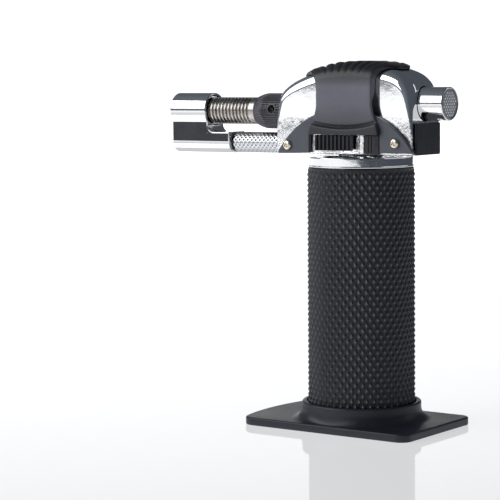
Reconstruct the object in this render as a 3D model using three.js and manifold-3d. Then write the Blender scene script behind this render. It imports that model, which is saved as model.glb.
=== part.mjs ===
// Butane torch: a hand-held jewellery torch with its push-on stand.
// Millimetres, +Z up. The origin is on the tank's axis at the stand's underside, and the nozzle
// points along -X, so the ignition button faces +X.
import * as THREE from 'three';
import { mergeVertices } from 'three/addons/utils/BufferGeometryUtils.js';
import Module from 'manifold-3d';

const wasm = await Module();
wasm.setup();

// Driving dimensions
const GAP = 0.3;                 // clearance left between pieces that touch
const PLATE_FRONT = -45;         // stand plate, nozzle end
const PLATE_REAR = 37;
const PLATE_HALF = 26.6;
const PLATE_THICK = 3.3;
const SOCKET_FLOOR = 4;
const SOCKET_TOP = 10.5;
const SOCKET_LEDGE = 6.9;        // the sleeve stands on this ledge
const GRIP_R = 22;
const GRIP_BOTTOM = 7.2;
const GRIP_TOP = 105.9;
const TANK_R = 19.4;
const TANK_BOTTOM = 7.5;
const TANK_TOP = 104.6;
const COLLAR_R = 21.5;
const COLLAR_BOTTOM = 106.2;
const COLLAR_TOP = 110.3;
const BOSS_R = 9;                // neck boss between collar and head
const BOSS_TOP = 112.9;
const HEAD_FRONT = -34.1;
const HEAD_REAR = 30.5;
const HEAD_BOTTOM = 111.3;
const HEAD_HALF = 11;
const HEAD_WALL = 1.6;
const HEAD_CREST = 147;
const BURNER_Z = 128.4;          // axis of burner tube and air ring
const BURNER_R = 5.65;
const BURNER_FRONT = -79;
const BURNER_REAR = -34.8;        // shoulder against the casing
const FIN_PITCH = 1.77;
const IGNITER_Z = 115.2;         // axis of the knurled tube under the burner
const IGNITER_R = 4.35;
const GUARD_FRONT = -92.4;
const GUARD_STEP = -73.5;        // where the guard's ring and web end
const GUARD_REAR = -62.1;
const BUTTON_Z = 131.6;
const BUTTON_R = 6.7;
const BUTTON_END = 41.6;
const BUTTON_INNER = 26.1;
const PLATE_ARC_R = 38.7;        // side plates are segments of this circle
const PLATE_ARC_Z = 91.25;
const SIDE_PLATE_BOTTOM = 112.3;
const SIDE_PLATE_IN = 11.3;
const SIDE_PLATE_OUT = 13.1;
const AIR_HOLE_Z = 129.4;        // centre of the air hole, a little above the burner's axis
const LEVER_X = 7;
const LEVER_Z = 120;
const PORT_Z = 116.8;            // gas outlet of the main valve

const COLOURS = {
  chrome: [0xdfe1e3, 0.08, 1],
  steel: [0xb9b2aa, 0.3, 1],
  black: [0x26262a, 0.55, 0],
  satin: [0x3d3f45, 0.45, 0.2],
  rubber: [0x4a4a4f, 0.7, 0],
  brass: [0xb89a55, 0.3, 1],
  ceramic: [0xe8e4da, 0.5, 0],
  white: [0xd8d8d4, 0.7, 0],
  copper: [0xb06a45, 0.4, 1],
};

const group = new THREE.Group();

// ---- solids ----

// Merges shared vertices, drops collapsed triangles and turns the faces outwards.
function weld(geometry) {
  const bare = geometry.clone();
  for (const name of Object.keys(bare.attributes)) {
    if (name !== 'position') bare.deleteAttribute(name);
  }
  const merged = mergeVertices(bare, 1e-4);
  const at = merged.attributes.position;
  const source = merged.index.array;
  const kept = [];
  let volume = 0;
  const a = new THREE.Vector3();
  const b = new THREE.Vector3();
  const c = new THREE.Vector3();
  for (let i = 0; i < source.length; i += 3) {
    const [p, q, r] = [source[i], source[i + 1], source[i + 2]];
    if (p === q || q === r || r === p) continue;
    kept.push(p, q, r);
    a.fromBufferAttribute(at, p);
    b.fromBufferAttribute(at, q);
    c.fromBufferAttribute(at, r);
    volume += a.dot(b.cross(c));
  }
  if (volume < 0) kept.reverse();
  merged.setIndex(kept);
  return merged;
}

function toSolid(geometry) {
  const merged = weld(geometry);
  return new wasm.Manifold(new wasm.Mesh({
    numProp: 3,
    vertProperties: new Float32Array(merged.attributes.position.array),
    triVerts: new Uint32Array(merged.index.array),
  }));
}

function toGeometry(solid) {
  const mesh = solid.getMesh();
  const geometry = new THREE.BufferGeometry();
  geometry.setAttribute('position', new THREE.BufferAttribute(mesh.vertProperties, 3));
  geometry.setIndex(new THREE.BufferAttribute(mesh.triVerts, 1));
  return geometry;
}

function cut(solid, ...tools) {
  return tools.reduce((left, tool) => left.subtract(tool), solid);
}

function join(first, ...others) {
  return others.reduce((whole, other) => whole.add(other), first);
}

function add(name, shape, colour) {
  const geometry = shape.isBufferGeometry ? weld(shape) : toGeometry(shape);
  geometry.computeVertexNormals();
  const [color, roughness, metalness] = COLOURS[colour];
  const mesh = new THREE.Mesh(geometry, new THREE.MeshStandardMaterial({ color, roughness, metalness }));
  mesh.name = name;
  group.add(mesh);
}

// ---- shapes ----

function box(x0, x1, y0, y1, z0, z1) {
  const geometry = new THREE.BoxGeometry(x1 - x0, y1 - y0, z1 - z0);
  geometry.translate((x0 + x1) / 2, (y0 + y1) / 2, (z0 + z1) / 2);
  return toSolid(geometry);
}

// Turns a closed profile of [radius, height] points about +Z.
function turnedZ(profile, sides = 40, x = 0, y = 0) {
  const points = profile.map(([r, z]) => new THREE.Vector2(r, z));
  points.push(points[0].clone());
  const geometry = new THREE.LatheGeometry(points, sides);
  geometry.rotateX(Math.PI / 2);
  geometry.translate(x, y, 0);
  return toSolid(geometry);
}

// Turns a closed profile of [x, radius] points about an axis along X at height z.
function turnedX(profile, z, sides = 32, y = 0) {
  const points = profile.map(([x, r]) => new THREE.Vector2(r, x));
  points.push(points[0].clone());
  const geometry = new THREE.LatheGeometry(points, sides);
  geometry.rotateZ(-Math.PI / 2);
  geometry.translate(0, y, z);
  return toSolid(geometry);
}

function rodX(radius, x0, x1, z, sides = 32, y = 0) {
  return turnedX([[x0, 0], [x0, radius], [x1, radius], [x1, 0]], z, sides, y);
}

function rodZ(radius, z0, z1, x = 0, y = 0, sides = 32) {
  return turnedZ([[0, z0], [radius, z0], [radius, z1], [0, z1]], sides, x, y);
}

function rodY(radius, y0, y1, x, z, sides = 20) {
  const geometry = new THREE.CylinderGeometry(radius, radius, y1 - y0, sides);
  geometry.translate(x, (y0 + y1) / 2, z);
  return toSolid(geometry);
}

// Extrudes an outline drawn in X and Z from y0 to y1.
function slabY(shape, y0, y1, curveSegments = 12) {
  const geometry = new THREE.ExtrudeGeometry(shape, { depth: y1 - y0, bevelEnabled: false, curveSegments });
  geometry.rotateX(Math.PI / 2);
  geometry.translate(0, y1, 0);
  return toSolid(geometry);
}

function outline(points) {
  return new THREE.Shape(points.map(([u, v]) => new THREE.Vector2(u, v)));
}

// A round rod that follows a curve through the given points.
function bentRod(points, radius, steps = 24, sides = 8) {
  const path = new THREE.CatmullRomCurve3(points.map(([x, y, z]) => new THREE.Vector3(x, y, z)));
  const section = new THREE.Shape();
  section.absarc(0, 0, radius, 0, Math.PI * 2);
  return new THREE.ExtrudeGeometry(section, { steps, curveSegments: sides / 2, extrudePath: path });
}

// A compression spring wound about an axis along Z or X.
class Helix extends THREE.Curve {
  constructor(radius, start, end, turns, place) {
    super();
    Object.assign(this, { radius, start, end, turns, place });
  }

  getPoint(t) {
    const angle = t * this.turns * Math.PI * 2;
    const along = this.start + (this.end - this.start) * t;
    return this.place(this.radius * Math.cos(angle), this.radius * Math.sin(angle), along);
  }
}

function spring(radius, wire, start, end, turns, place) {
  const section = new THREE.Shape();
  section.absarc(0, 0, wire / 2, 0, Math.PI * 2);
  const extrudePath = new Helix(radius, start + wire / 2, end - wire / 2, turns, place);
  const steps = Math.round(turns * 10);
  return new THREE.ExtrudeGeometry(section, { steps, curveSegments: 3, extrudePath });
}

// ---- stand ----

// The plate is a rounded rectangle whose nozzle end bows outwards on a large arc.
function standPlate() {
  const rearCorner = 5;
  const frontCorner = 6;
  const bow = 4;
  const arcR = (PLATE_HALF ** 2 + bow ** 2) / (2 * bow);
  const arcX = PLATE_FRONT + arcR;
  const cornerY = PLATE_HALF - frontCorner;
  const cornerX = arcX - Math.sqrt((arcR - frontCorner) ** 2 - cornerY ** 2);
  const meet = Math.atan2(cornerY, cornerX - arcX);
  const shape = new THREE.Shape();
  shape.moveTo(PLATE_REAR, -PLATE_HALF + rearCorner);
  shape.absarc(PLATE_REAR - rearCorner, PLATE_HALF - rearCorner, rearCorner, 0, Math.PI / 2);
  shape.absarc(cornerX, cornerY, frontCorner, Math.PI / 2, meet);
  shape.absarc(arcX, 0, arcR, meet, 2 * Math.PI - meet);
  shape.absarc(cornerX, -cornerY, frontCorner, -meet, 1.5 * Math.PI - 2 * Math.PI);
  shape.absarc(PLATE_REAR - rearCorner, -PLATE_HALF + rearCorner, rearCorner, -Math.PI / 2, 0);
  return toSolid(new THREE.ExtrudeGeometry(shape, {
    depth: PLATE_THICK, bevelEnabled: false, curveSegments: 7,
  }));
}

function buildStand() {
  const footR = 29.2;            // the flare's foot, cut off just inside the plate's long edges
  const neckR = 24;
  const rimR = 24.4;
  const footHalf = PLATE_HALF - 0.6;
  const socket = turnedZ([
    [0, 1], [footR, 1], [footR, PLATE_THICK], [27.6, 3.6], [26.1, 4.4], [24.9, 5.8], [neckR, 7.6],
    [neckR, SOCKET_TOP - 1.6], [rimR, SOCKET_TOP - 1], [rimR - 0.2, SOCKET_TOP],
    [GRIP_R + 0.6, SOCKET_TOP], [GRIP_R + GAP, SOCKET_TOP - 1], [GRIP_R + GAP, SOCKET_LEDGE],
    [TANK_R, SOCKET_LEDGE], [TANK_R, SOCKET_FLOOR], [0, SOCKET_FLOOR],
  ], 48).intersect(box(-footR, footR, -footHalf, footHalf, 0, SOCKET_TOP + 1));
  add('base_stand', join(standPlate(), socket), 'black');
}

// ---- tank ----

function buildTank() {
  const wall = 1.5;
  const floorHole = 4.2;
  const topHole = 4;
  add('fuel_tank', turnedZ([
    [floorHole, TANK_BOTTOM], [TANK_R, TANK_BOTTOM], [TANK_R, TANK_TOP], [topHole, TANK_TOP],
    [topHole, TANK_TOP - wall], [TANK_R - wall, TANK_TOP - wall],
    [TANK_R - wall, TANK_BOTTOM + wall], [floorHole, TANK_BOTTOM + wall],
  ], 40), 'white');
  add('grip_sleeve', turnedZ([
    [TANK_R + 0.4, GRIP_BOTTOM], [GRIP_R, GRIP_BOTTOM], [GRIP_R, GRIP_TOP], [TANK_R + 0.4, GRIP_TOP],
  ], 48), 'black');
  add('dip_wick', rodZ(1.6, 18.4, 97.7, 0, 0, 12), 'white');
}

function buildFillValve() {
  add('fill_valve_body', turnedZ([
    [1.4, 5.9], [6.5, 5.9], [6.5, 7.2], [3.9, 7.2], [3.9, 18], [0.6, 18], [0.6, 17], [2.2, 17],
    [2.2, 10], [1.4, 10],
  ], 16), 'brass');
  add('fill_valve_stem', turnedZ([
    [0, 4.9], [1, 4.9], [1, 10.5], [1.9, 10.5], [1.9, 11.5], [0, 11.5],
  ], 16), 'brass');
  add('fill_valve_spring', spring(1.45, 0.45, 11.9, 16.6, 4, (u, v, w) => new THREE.Vector3(u, v, w)), 'steel');
}

// ---- neck and gas valve ----

function buildNeck() {
  const bore = 6.6;
  add('neck_ring', turnedZ([
    [bore, COLLAR_BOTTOM], [COLLAR_R, COLLAR_BOTTOM], [COLLAR_R, COLLAR_TOP],
    [16.5, HEAD_BOTTOM - GAP], [BOSS_R, HEAD_BOTTOM - GAP], [BOSS_R, BOSS_TOP], [bore, BOSS_TOP],
  ], 48), 'chrome');
  add('valve_seal', turnedZ([[4.3, 104.9], [6.1, 104.9], [6.1, 105.5], [4.3, 105.5]], 24), 'rubber');
}

function buildGasValve() {
  const body = turnedZ([
    [2.6, 98], [3.7, 98], [3.7, 105.8], [6.2, 105.8], [6.2, 107], [5, 107], [5, 115.2], [3.6, 115.2],
    [3.6, 118.8], [1.5, 118.8], [1.5, 117.4], [2.6, 117.4],
  ], 20);
  const port = rodX(1.4, -7.3, -3, PORT_Z, 12);
  const portBore = rodX(0.7, -7.5, -2, PORT_Z, 8);
  add('valve_body', cut(join(body, port), portBore), 'brass');
  add('valve_stem', turnedZ([
    [0, 107.4], [2.2, 107.4], [2.2, 108.4], [1.1, 108.4], [1.1, 121.1], [2.6, 121.1], [2.6, 122.1], [0, 122.1],
  ], 20), 'brass');
  add('valve_spring', spring(1.85, 0.5, 108.8, 117, 5, (u, v, w) => new THREE.Vector3(u, v, w)), 'steel');
}

// A hub round the valve, an arm through the casing and a flat thumb pad.
function buildFlowLever() {
  const hub = turnedZ([[5.3, 113.2], [8, 113.2], [8, 115], [5.3, 115]], 32);
  const arm = box(-6.5, -2.5, -13, -7, 113.2, 115);
  const pad = box(-13.3, 4.4, -14.6, -12.6, 113, 119.2);
  add('flow_lever', join(hub, arm, pad), 'black');
}

// ---- head ----

// Side view of the casing, from the lower nozzle corner over the crest to the lower button corner.
function headProfile() {
  const path = new THREE.Path();
  path.moveTo(HEAD_FRONT, HEAD_BOTTOM);
  path.lineTo(HEAD_FRONT, 131.5);
  path.bezierCurveTo(HEAD_FRONT, 138, -28, 142.2, -8, 146.4);
  path.bezierCurveTo(-2, HEAD_CREST + 0.1, 8, HEAD_CREST + 0.3, 14, 146.4);
  path.bezierCurveTo(22, 145.4, HEAD_REAR, 143, HEAD_REAR, 134);
  path.lineTo(HEAD_REAR, HEAD_BOTTOM);
  return path.getPoints(7);
}

// The radius between crest and flank grows from the foot of the casing to its crown.
function shoulderRadius(z) {
  return 0.8 + 4.2 * THREE.MathUtils.smoothstep(z, 120, 143);
}

// Moves each corner of a closed outline inwards by its own distance.
function insetLoop(points, distances) {
  const count = points.length;
  return points.map((point, i) => {
    const before = point.clone().sub(points[(i + count - 1) % count]).normalize();
    const after = points[(i + 1) % count].clone().sub(point).normalize();
    const tangent = before.clone().add(after).normalize();
    const inward = new THREE.Vector2(tangent.y, -tangent.x);
    const mitre = 1 / Math.max(0.5, Math.abs(tangent.dot(after)));
    return point.clone().addScaledVector(inward, distances[i] * mitre);
  });
}

// The casing's outer form moved inwards by an inset: rounded strips between two flat flanks.
function headForm(inset) {
  const steps = 4;
  const base = headProfile();
  const outer = insetLoop(base, base.map(() => inset));
  const radii = base.map((point) => Math.max(0.4, shoulderRadius(point.y) - inset));
  const half = HEAD_HALF - inset;
  const rows = [];
  for (let i = 0; i <= steps; i += 1) {
    const angle = (Math.PI / 2) * (1 - i / steps);
    const loop = insetLoop(outer, radii.map((r) => r * (1 - Math.cos(angle))));
    rows.push(loop.map((p, k) => [p.x, -(half - radii[k] + radii[k] * Math.sin(angle)), p.y]));
  }
  const mirrored = rows.map((row) => row.map(([x, y, z]) => [x, -y, z])).reverse();
  return loftLoops([...rows, ...mirrored]);
}

// Skins a stack of equal loops and closes both ends with flat faces.
function loftLoops(loops) {
  const count = loops[0].length;
  const position = loops.flat(2);
  const index = [];
  for (let i = 0; i < loops.length - 1; i += 1) {
    for (let k = 0; k < count; k += 1) {
      const next = (k + 1) % count;
      const [a, b] = [i * count + k, i * count + next];
      const [c, d] = [a + count, b + count];
      index.push(a, b, d, a, d, c);
    }
  }
  const flat = loops[0].map(([x, , z]) => new THREE.Vector2(x, z));
  const caps = THREE.ShapeUtils.triangulateShape(flat, []);
  const last = (loops.length - 1) * count;
  for (const [p, q, r] of caps) {
    index.push(p, q, r);
    index.push(last + p, last + r, last + q);
  }
  const geometry = new THREE.BufferGeometry();
  geometry.setAttribute('position', new THREE.BufferAttribute(new Float32Array(position), 3));
  geometry.setIndex(index);
  return toSolid(geometry);
}

const SCREW_PLACES = [[-27, 114.9], [24.2, 116.2]];

function buildHeadShells() {
  const room = headForm(HEAD_WALL).intersect(box(-60, 60, -30, 30, BOSS_TOP, 160));
  const holes = [
    rodZ(BOSS_R + 0.4, 110, 113.2),
    rodX(4.6, -38, -28, BURNER_Z),
    rodX(2.2, -38, -28, IGNITER_Z, 16),
    rodX(BUTTON_R + 0.35, 26, 34, BUTTON_Z, 40),
    box(28, 34, -7.3, 7.3, 113.2, 122.3),
    box(-10, 1.2, -14, -9, BOSS_TOP, 115.4),
  ];
  for (const [x, z] of SCREW_PLACES) holes.push(rodY(1.35, -14, 14, x, z, 12));
  const casing = cut(headForm(0), room, ...holes);
  const boss = join(box(8.6, 16.6, -13, -10.6, 111.7, 119.4), rodZ(2, 111.7, 119.4, 8.6, -11, 20));
  const left = casing.intersect(box(-60, 60, -30, -0.15, 100, 160));
  add('head_shell_left', join(left, boss), 'chrome');
  add('head_shell_right', casing.intersect(box(-60, 60, 0.15, 30, 100, 160)), 'chrome');
}

function buildSidePlates() {
  const reach = Math.sqrt(PLATE_ARC_R ** 2 - (SIDE_PLATE_BOTTOM - PLATE_ARC_Z) ** 2);
  const sweep = Math.acos(reach / PLATE_ARC_R);
  const shape = new THREE.Shape();
  shape.moveTo(-reach, SIDE_PLATE_BOTTOM);
  shape.lineTo(reach, SIDE_PLATE_BOTTOM);
  shape.absarc(0, PLATE_ARC_Z, PLATE_ARC_R, sweep, Math.PI - sweep);
  const holes = SCREW_PLACES.map(([x, z]) => rodY(1.35, -16, 16, x, z, 12));
  const window = box(-18.8, 16.9, -16, 0, 111, 120.2);
  const rearTrim = box(28.5, 40, 0, 20, 100, 130);
  const left = slabY(shape, -SIDE_PLATE_OUT, -SIDE_PLATE_IN, 28);
  add('side_plate_left', cut(left, window, ...holes), 'satin');
  add('side_plate_right', cut(slabY(shape, SIDE_PLATE_IN, SIDE_PLATE_OUT, 28), rearTrim, ...holes), 'satin');
}

// A pan-head screw with a cross recess, driven into the side given by sign.
function plateScrew(x, z, side) {
  const head = SIDE_PLATE_OUT + GAP;
  const shank = rodY(1, side > 0 ? 8.4 : -head, side > 0 ? head : -8.4, x, z, 12);
  const cap = rodY(1.9, side > 0 ? head : -head - 1, side > 0 ? head + 1 : -head, x, z, 20);
  const [y0, y1] = side > 0 ? [head + 0.5, head + 2] : [-head - 2, -head - 0.5];
  const level = box(x - 1.2, x + 1.2, y0, y1, z - 0.25, z + 0.25);
  const upright = box(x - 0.25, x + 0.25, y0, y1, z - 1.2, z + 1.2);
  const cross = join(level, upright);
  return cut(join(shank, cap), cross);
}

function buildScrews() {
  let number = 1;
  for (const side of [-1, 1]) {
    for (const [x, z] of SCREW_PLACES) {
      add(`plate_screw_${number}`, plateScrew(x, z, side), 'brass');
      number += 1;
    }
  }
}

// ---- thumb saddle ----

// Height of the casing's crest line at a place along X.
const CREST_POINTS = headProfile();
function crest(x) {
  for (let i = 1; i < CREST_POINTS.length; i += 1) {
    const [a, b] = [CREST_POINTS[i - 1], CREST_POINTS[i]];
    if (b.x > a.x && x >= a.x && x <= b.x) return a.y + (b.y - a.y) * (x - a.x) / (b.x - a.x);
  }
  return HEAD_BOTTOM;
}

// Ends of the saddle along X: wide on the crest, drawn in to a waist, flared at the hem.
function saddleReach(t) {
  const ease = THREE.MathUtils.smoothstep;
  const draw = ease(t, 0.08, 0.55);
  const flare = ease(t, 0.72, 1);
  return [-24.4 + 12.2 * draw - 3.4 * flare, 20.8 - 7 * draw + 3.6 * flare];
}

// A point of the saddle: t runs from the crest (0) to the hem (1), offset is out from the casing.
function saddlePoint(t, s, offset, side) {
  const [x0, x1] = saddleReach(t);
  const x = x0 + (x1 - x0) * s;
  const top = crest(x);
  const radius = shoulderRadius(top) + offset;
  const flat = HEAD_HALF - shoulderRadius(top);
  const arcEnd = 0.5;
  const flatEnd = 0.2;
  if (t < flatEnd) return [x, side * flat * (t / flatEnd), top + offset];
  if (t < arcEnd) {
    const angle = (Math.PI / 2) * (t - flatEnd) / (arcEnd - flatEnd);
    return [x, side * (flat + radius * Math.sin(angle)), top + offset - radius * (1 - Math.cos(angle))];
  }
  const shoulder = top + offset - radius;
  const hem = 120;
  return [x, side * (flat + radius), shoulder + (hem - shoulder) * (t - arcEnd) / (1 - arcEnd)];
}

function saddleInner(t) {
  return t < 0.6 ? GAP : GAP + 2.1 * THREE.MathUtils.smoothstep(t, 0.6, 0.7);
}

function saddleOuter(t) {
  const cheek = 1.9 + 1.9 * THREE.MathUtils.smoothstep(t, 0.25, 0.5);
  return cheek + 0.6 * THREE.MathUtils.smoothstep(t, 0.84, 0.9);
}

function buildSaddle() {
  const across = [];
  const stations = [0.2, 0.26, 0.32, 0.38, 0.44, 0.5, 0.6, 0.65, 0.7, 0.78, 0.84, 0.9, 1];
  for (const t of [...stations].reverse()) across.push([t, -1]);
  across.push([0, 1]);
  for (const t of stations) across.push([t, 1]);
  const along = 10;
  const loops = across.map(([t, side]) => {
    const loop = [];
    for (let i = 0; i <= along; i += 1) loop.push(saddlePoint(t, i / along, saddleOuter(t), side));
    for (let i = along; i >= 0; i -= 1) loop.push(saddlePoint(t, i / along, saddleInner(t), side));
    return loop;
  });
  add('thumb_saddle', skinLoops(loops), 'rubber');
}

// Skins loops whose two halves face each other, closing the ends between the halves.
function skinLoops(loops) {
  const count = loops[0].length;
  const index = [];
  for (let i = 0; i < loops.length - 1; i += 1) {
    for (let k = 0; k < count; k += 1) {
      const [a, b] = [i * count + k, i * count + (k + 1) % count];
      index.push(a, b, b + count, a, b + count, a + count);
    }
  }
  const last = (loops.length - 1) * count;
  for (let k = 0; k < count / 2 - 1; k += 1) {
    const [a, b] = [k, k + 1];
    const [c, d] = [count - 2 - k, count - 1 - k];
    index.push(a, c, b, a, d, c);
    index.push(last + a, last + b, last + c, last + a, last + c, last + d);
  }
  const geometry = new THREE.BufferGeometry();
  geometry.setAttribute('position', new THREE.BufferAttribute(new Float32Array(loops.flat(2)), 3));
  geometry.setIndex(index);
  return toSolid(geometry);
}

// ---- button, cam, lever and piezo unit ----

function buildButton() {
  const rim = BUTTON_END;
  const body = turnedX([
    [BUTTON_INNER, 0], [BUTTON_INNER, 7.3], [BUTTON_INNER + 1, 7.3], [BUTTON_INNER + 1, BUTTON_R],
    [rim - 0.9, BUTTON_R],
    [rim - 0.25, BUTTON_R - 0.25], [rim, BUTTON_R - 0.5], [rim, 6.15], [rim - 0.9, 6.15], [rim - 0.9, 0],
  ], BUTTON_Z, 40);
  add('ignition_button', cut(body, box(37.6, 39.8, -3.4, -1, 123, 126.1)), 'chrome');
  add('button_cap', rodX(5.85, rim - 0.6, rim, BUTTON_Z, 40), 'satin');
  const cam = outline([
    [9.5, 126], [9.5, 124.3], [20.5, 123], [BUTTON_INNER - GAP, 123], [BUTTON_INNER - GAP, 126],
  ]);
  add('valve_cam', slabY(cam, -1.8, 1.8), 'satin');
  add('piezo_plunger', rodX(2.6, 14.5, BUTTON_INNER - GAP, BUTTON_Z, 24), 'white');
  add('button_spring', spring(
    4.2, 0.8, 17.3, BUTTON_INNER - GAP, 3, (u, v, w) => new THREE.Vector3(w, v, u + BUTTON_Z),
  ), 'steel');
}

function buildPiezo() {
  const body = box(-3, 17, -4.2, 4.2, 126.4, 136);
  const bore = rodX(2.9, 7.5, 18, BUTTON_Z, 24);
  add('piezo_body', cut(body, bore), 'black');
}

// The nose rides under the cam and the fork lifts the valve stem's head.
function buildLever() {
  const side = outline([
    [LEVER_X - 2, LEVER_Z - 1.4], [LEVER_X + 2.2, LEVER_Z - 1.4], [13.2, 122.4], [12.6, 123.7],
    [11.4, 123.7], [LEVER_X, LEVER_Z + 1.8], [LEVER_X - 2, LEVER_Z + 0.8],
  ]);
  const arm = slabY(side, -3, 3);
  const fork = join(box(-2.2, 5.5, -3, -1.6, 119.5, 120.7), box(-2.2, 5.5, 1.6, 3, 119.5, 120.7));
  const hole = rodY(1.2, -4, 4, LEVER_X, LEVER_Z, 16);
  add('gas_lever', cut(join(arm, fork), hole), 'steel');
  add('lever_pin', rodY(0.9, -9.1, 9.1, LEVER_X, LEVER_Z, 16), 'steel');
}

function buildRearBlock() {
  const face = box(30.8, 31.8, -10.8, 10.8, 111.4, 124.1);
  const tongue = box(26, 31, -7, 7, 113.5, 122);
  add('rear_block', join(face, tongue), 'black');
}

// ---- burner ----

function burnerProfile() {
  const finR = BURNER_R;
  const rootR = 4.75;
  const profile = [[BURNER_REAR, 3.3], [BURNER_FRONT, 3.3], [BURNER_FRONT, finR], [GUARD_STEP + 0.5, finR]];
  const land = FIN_PITCH * 0.5;
  for (let x = GUARD_STEP + 0.5; x + FIN_PITCH < -50.5; x += FIN_PITCH) {
    profile.push([x + 0.1, rootR], [x + land, rootR], [x + land + 0.1, finR], [x + FIN_PITCH, finR]);
  }
  profile.push([BURNER_REAR, finR]);
  return profile;
}

function buildBurner() {
  const tube = turnedX(burnerProfile(), BURNER_Z, 20);
  const spigot = turnedX([
    [BURNER_REAR - 0.2, 3.3], [BURNER_REAR - 0.2, 4.2], [-27, 4.2], [-27, 3.3],
  ], BURNER_Z, 20);
  const airHole = rodY(1.5, -8, 8, -39.4, AIR_HOLE_Z, 12);
  add('burner_tube', cut(join(tube, spigot), airHole), 'steel');
  const ring = turnedX([
    [-49.6, BURNER_R + 0.3], [-49.6, 6.1], [-47.2, 6.9], [-44.5, 7.4], [-34.6, 7.4], [-34.6, BURNER_R + 0.3],
  ], BURNER_Z, 40);
  const window = rodY(1.7, -9, 9, -39.4, AIR_HOLE_Z, 12);
  add('air_control_ring', cut(ring, window), 'black');
  add('gas_jet', turnedX([
    [-37, 0.3], [-37, 1], [-35, 2.2], [-26, 2.2], [-26, 0.3],
  ], BURNER_Z, 20), 'brass');
  add('gas_tube', bentRod([
    [-7.7, 0, PORT_Z], [-11, 0, PORT_Z + 0.5], [-15.5, 0, 120.5], [-19, 0, 126], [-22.5, 0, 128.2],
    [-25.6, 0, BURNER_Z],
  ], 1, 16, 8), 'copper');
  const disc = rodX(3, -78, -76, BURNER_Z, 24);
  const jets = [0, 1, 2, 3, 4, 5].map((i) => {
    const angle = (i / 6) * Math.PI * 2;
    return rodX(0.5, -79, -75, BURNER_Z + 1.9 * Math.sin(angle), 8, 1.9 * Math.cos(angle));
  });
  add('flame_holder', cut(disc, rodX(0.7, -79, -75, BURNER_Z, 8), ...jets), 'steel');
}

// Ring round the flame over a flat-sided bar with a round belly, in one casting.
function buildGuard() {
  const ringR = 7.5;
  const bellyR = 4.6;
  const half = 5.8;
  const barTop = 119.6;
  const rootR = 2.6;               // hollow corner between the web's rear edge and the bar
  const ring = rodX(ringR, GUARD_FRONT, GUARD_STEP, BURNER_Z, 36);
  const web = box(GUARD_FRONT, GUARD_STEP, -half, half, IGNITER_Z, BURNER_Z);
  const bar = box(GUARD_FRONT, GUARD_REAR, -half, half, IGNITER_Z, barTop);
  const flat = half - bellyR;
  const belly = [-flat, flat].map((y) => rodX(bellyR, GUARD_FRONT, GUARD_REAR, IGNITER_Z, 28, y));
  const keel = box(GUARD_FRONT, GUARD_REAR, -flat, flat, IGNITER_Z - bellyR, IGNITER_Z);
  const corner = box(GUARD_STEP - 1, GUARD_STEP + rootR, -half, half, barTop - 1, barTop + rootR);
  const hollow = rodY(rootR, -half - 1, half + 1, GUARD_STEP + rootR, barTop + rootR, 20);
  const flameBore = rodX(6.3, GUARD_FRONT - 1, GUARD_STEP + 1, BURNER_Z, 32);
  const leadBore = rodX(2.2, -88, GUARD_REAR + 1, IGNITER_Z, 16);
  const sparkWell = box(-88, -85, -1.5, 1.5, IGNITER_Z, BURNER_Z);
  const solid = join(ring, web, bar, keel, ...belly, cut(corner, hollow));
  add('nozzle_guard', cut(solid, flameBore, leadBore, sparkWell), 'chrome');
}

function buildIgniterTube() {
  add('igniter_tube', turnedX([
    [GUARD_REAR + GAP, 2.2], [GUARD_REAR + GAP, IGNITER_R], [HEAD_FRONT - GAP, IGNITER_R],
    [HEAD_FRONT - GAP, 2.2],
  ], IGNITER_Z, 28), 'chrome');
  add('electrode_insulator', turnedX([
    [-82, 0.8], [-82, 1.9], [-24, 1.9], [-24, 0.8],
  ], IGNITER_Z, 16), 'ceramic');
  add('electrode', bentRod([
    [-23.4, 0, IGNITER_Z], [-60, 0, IGNITER_Z], [-80, 0, IGNITER_Z], [-84, 0, IGNITER_Z],
    [-86.2, 0, IGNITER_Z + 1.4], [-86.5, 0, 119], [-86.5, 0, 124.4],
  ], 0.45, 40, 6), 'steel');
  add('ignition_lead', bentRod([
    [-23, 0, IGNITER_Z], [-19.5, 1.5, 115.4], [-16.5, 4.5, 119], [-13.5, 5, 125.5],
    [-8.5, 3, 130.6], [-3.4, 0.8, 131.2],
  ], 0.8, 20, 8), 'rubber');
}

buildStand();
buildTank();
buildFillValve();
buildNeck();
buildGasValve();
buildFlowLever();
buildHeadShells();
buildSidePlates();
buildScrews();
buildSaddle();
buildButton();
buildPiezo();
buildLever();
buildRearBlock();
buildBurner();
buildGuard();
buildIgniterTube();

export default group;
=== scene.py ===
import math

import bmesh
import bpy
import numpy as np
from mathutils import Matrix, Vector


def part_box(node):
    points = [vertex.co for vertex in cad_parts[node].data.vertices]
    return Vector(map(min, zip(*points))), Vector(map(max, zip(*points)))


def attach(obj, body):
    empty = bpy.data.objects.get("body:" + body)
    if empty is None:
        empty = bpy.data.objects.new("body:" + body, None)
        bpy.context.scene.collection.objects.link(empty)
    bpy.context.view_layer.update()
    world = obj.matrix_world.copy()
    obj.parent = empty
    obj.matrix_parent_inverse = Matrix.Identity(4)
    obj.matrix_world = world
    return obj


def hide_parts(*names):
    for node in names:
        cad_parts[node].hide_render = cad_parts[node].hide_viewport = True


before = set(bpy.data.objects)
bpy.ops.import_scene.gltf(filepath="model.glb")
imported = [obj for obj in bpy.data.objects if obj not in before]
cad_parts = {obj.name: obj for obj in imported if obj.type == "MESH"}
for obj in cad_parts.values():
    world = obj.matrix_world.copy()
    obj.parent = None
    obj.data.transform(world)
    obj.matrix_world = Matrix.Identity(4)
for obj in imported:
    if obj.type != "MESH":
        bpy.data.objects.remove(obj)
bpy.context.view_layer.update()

# A butane torch on its stand. Metres, +Z up, nozzle towards -X and ignition button towards +X.
# Places come from the CAD nodes' boxes; MM and mm() turn the small sizes below into metres.
MM = 0.001
QUARTER = math.pi / 2
TAU = 2 * math.pi


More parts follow.
